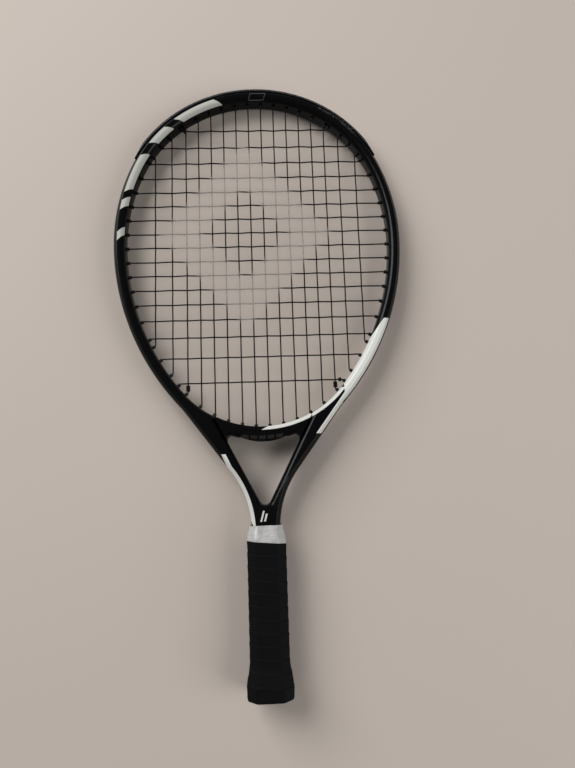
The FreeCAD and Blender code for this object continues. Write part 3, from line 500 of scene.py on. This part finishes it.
feed(shader, "Roughness", 0.62 + handled * 0.20)
bumped(shader, grain * 0.6 + noise(place, 0.5, 3.0) * 1.6, 0.35, 0.25)
overgrip = racket_piece("overgrip_wrap", wrap, tacky, 50)
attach(overgrip, "root")
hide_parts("overgrip")

# ---- finishing tape ----
# A silver adhesive band that holds down the top end of the wrap. It narrows with the handle and its
# lower edge runs a little aslant.

TAPE_FOOT, TAPE_TOP = 133.6, 149.8
FOOT_WIDTH, FOOT_HEIGHT = 35.9, 31.7
TOP_WIDTH, TOP_HEIGHT = 28.0, 23.2
TAPE_THICKNESS = 0.35
tape = rounded_octagon(FOOT_WIDTH, FOOT_HEIGHT, 7.5, 2.0)
bmesh.ops.translate(tape, verts=tape.verts[:], vec=(0, TAPE_FOOT, 0))
ring = tape.verts[:] + tape.edges[:]
TAPE_RINGS = 24
for step in range(TAPE_RINGS):
    ring = lengthened(tape, ring, Vector((0, (TAPE_TOP - TAPE_FOOT) / TAPE_RINGS, 0)))
for vert in tape.verts:
    up = (vert.co.y - TAPE_FOOT) / (TAPE_TOP - TAPE_FOOT)
    ease = up * up * (3 - 2 * up) * 0.55 + up * 0.45
    vert.co.x *= 1 - ease * (1 - TOP_WIDTH / FOOT_WIDTH)
    vert.co.z *= 1 - ease * (1 - TOP_HEIGHT / FOOT_HEIGHT)
    corner = (abs(vert.co.x) / (FOOT_WIDTH / 2 * (1 - ease * 0.22))
              + abs(vert.co.z) / (FOOT_HEIGHT / 2 * (1 - ease * 0.268)))
    squared = 1 + 0.10 * up * min(max((corner - 1.15) / 0.3, 0.0), 1.0)
    vert.co.x *= squared
    vert.co.z *= squared
    vert.co.y -= (1 - up) * vert.co.x * 0.095 - (1 - up) * 1.4
bmesh.ops.solidify(tape, geom=tape.faces[:], thickness=TAPE_THICKNESS)
silver, shader, place, (x, y, z) = new_finish("silver_tape", (0.50, 0.50, 0.49), 0.36, Metallic=0.1)
creases = noise(place, 0.35, 4.0, (0.35, 1.0, 1.0))
feed(shader, "Base Color", layered((0.38, 0.375, 0.365), creases, (0.58, 0.575, 0.56)))
feed(shader, "Roughness", 0.30 + creases * 0.25)
FOLD_Y, FOLD_SLOPE = 139.6, 0.07
fold = inside(abs(y + FOLD_SLOPE * x - FOLD_Y - creases * 1.2) - 0.1, 0.35)
bumped(shader, creases + noise(place, 0.2, 2.0) * 2.0 - fold * 0.8, 0.6, 0.5)
tape_band = racket_piece("silver_tape_band", tape, silver, 50)
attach(tape_band, "root")
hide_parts("finishing_tape")

# ---- butt cap, staples, disc, and what the wrap hides ----
# Moulded black cap stapled to the handle shells, closed by a plain disc. The base grip, the foam
# shells and the plugs lie under the wrap.

for node, colour, roughness, scale in (("butt_cap", (0.015, 0.015, 0.016), 0.45, 1.5),
                                       ("butt_cap_disc", (0.40, 0.40, 0.41), 0.35, 0.8),
                                       ("butt_cap_staples", (0.45, 0.45, 0.46), 0.35, 2.0),
                                       ("base_grip", (0.02, 0.02, 0.022), 0.7, 0.8),
                                       ("handle_shell_front", (0.50, 0.47, 0.38), 0.8, 1.2),
                                       ("handle_shell_back", (0.50, 0.47, 0.38), 0.8, 1.2),
                                       ("shaft_plugs", (0.62, 0.60, 0.55), 0.9, 1.4)):
    moulded, shader, place, _ = new_finish(node + "_finish", colour, roughness)
    mottled = noise(place, scale, 3.0)
    darker, lighter = [tuple(c * share for c in colour) for share in (0.8, 1.2)]
    feed(shader, "Base Color", layered(darker, mottled, lighter))
    feed(shader, "Roughness", (roughness - 0.08) + mottled * 0.16)
    bumped(shader, mottled, 0.2, 0.1)
    cover(node, moulded)

# ---- camera, floor and light ----

camera = bpy.data.objects.new("camera", bpy.data.cameras.new("camera"))
camera.data.lens, camera.data.sensor_width = 27.87, 36.0
turn = Vector((9.005, -2.043, -1.873))
camera.matrix_world = (Matrix.Translation((0.0027, -0.1014, 0.5817))
                       @ Matrix.Rotation(math.radians(turn.length), 4, turn))
bpy.context.scene.collection.objects.link(camera)
bpy.context.scene.camera = camera

floor_shape = bmesh.new()
bmesh.ops.create_grid(floor_shape, x_segments=1, y_segments=1, size=3.0)
floor_mesh = bpy.data.meshes.new("floor")
floor_shape.to_mesh(floor_mesh)
floor_shape.free()
BUTT_DROP, BUTT_TO_TIP = 0.008, 0.576
tilt = math.atan2(BUTT_DROP, BUTT_TO_TIP)
floor_mesh.transform(Matrix.Translation((0, -0.284, -0.0002)) @ Matrix.Rotation(tilt, 4, "X"))
floor = bpy.data.objects.new("floor", floor_mesh)
bpy.context.scene.collection.objects.link(floor)
pale, *_ = new_finish("pale_floor", (0.57, 0.50, 0.445), 0.9)
floor_mesh.materials.append(pale)

for name, location, size, power in (("window", (-1.5, 1.5, 1.5), 1.8, 68.0),
                                    ("fill", (1.7, -0.7, 1.2), 1.6, 22.0)):
    lamp = bpy.data.lights.new(name, "AREA")
    lamp.size, lamp.energy = size, power
    lamp_object = bpy.data.objects.new(name, lamp)
    lamp_object.location = location
    lamp_object.rotation_euler = (-Vector(location)).to_track_quat("-Z", "Y").to_euler()
    bpy.context.scene.collection.objects.link(lamp_object)
world = bpy.data.worlds.new("studio")
world.use_nodes = True
world.node_tree.nodes["Background"].inputs["Color"].default_value = (1, 1, 1, 1)
world.node_tree.nodes["Background"].inputs["Strength"].default_value = 0.16
bpy.context.scene.world = world
bpy.context.scene.view_settings.view_transform = "Standard"
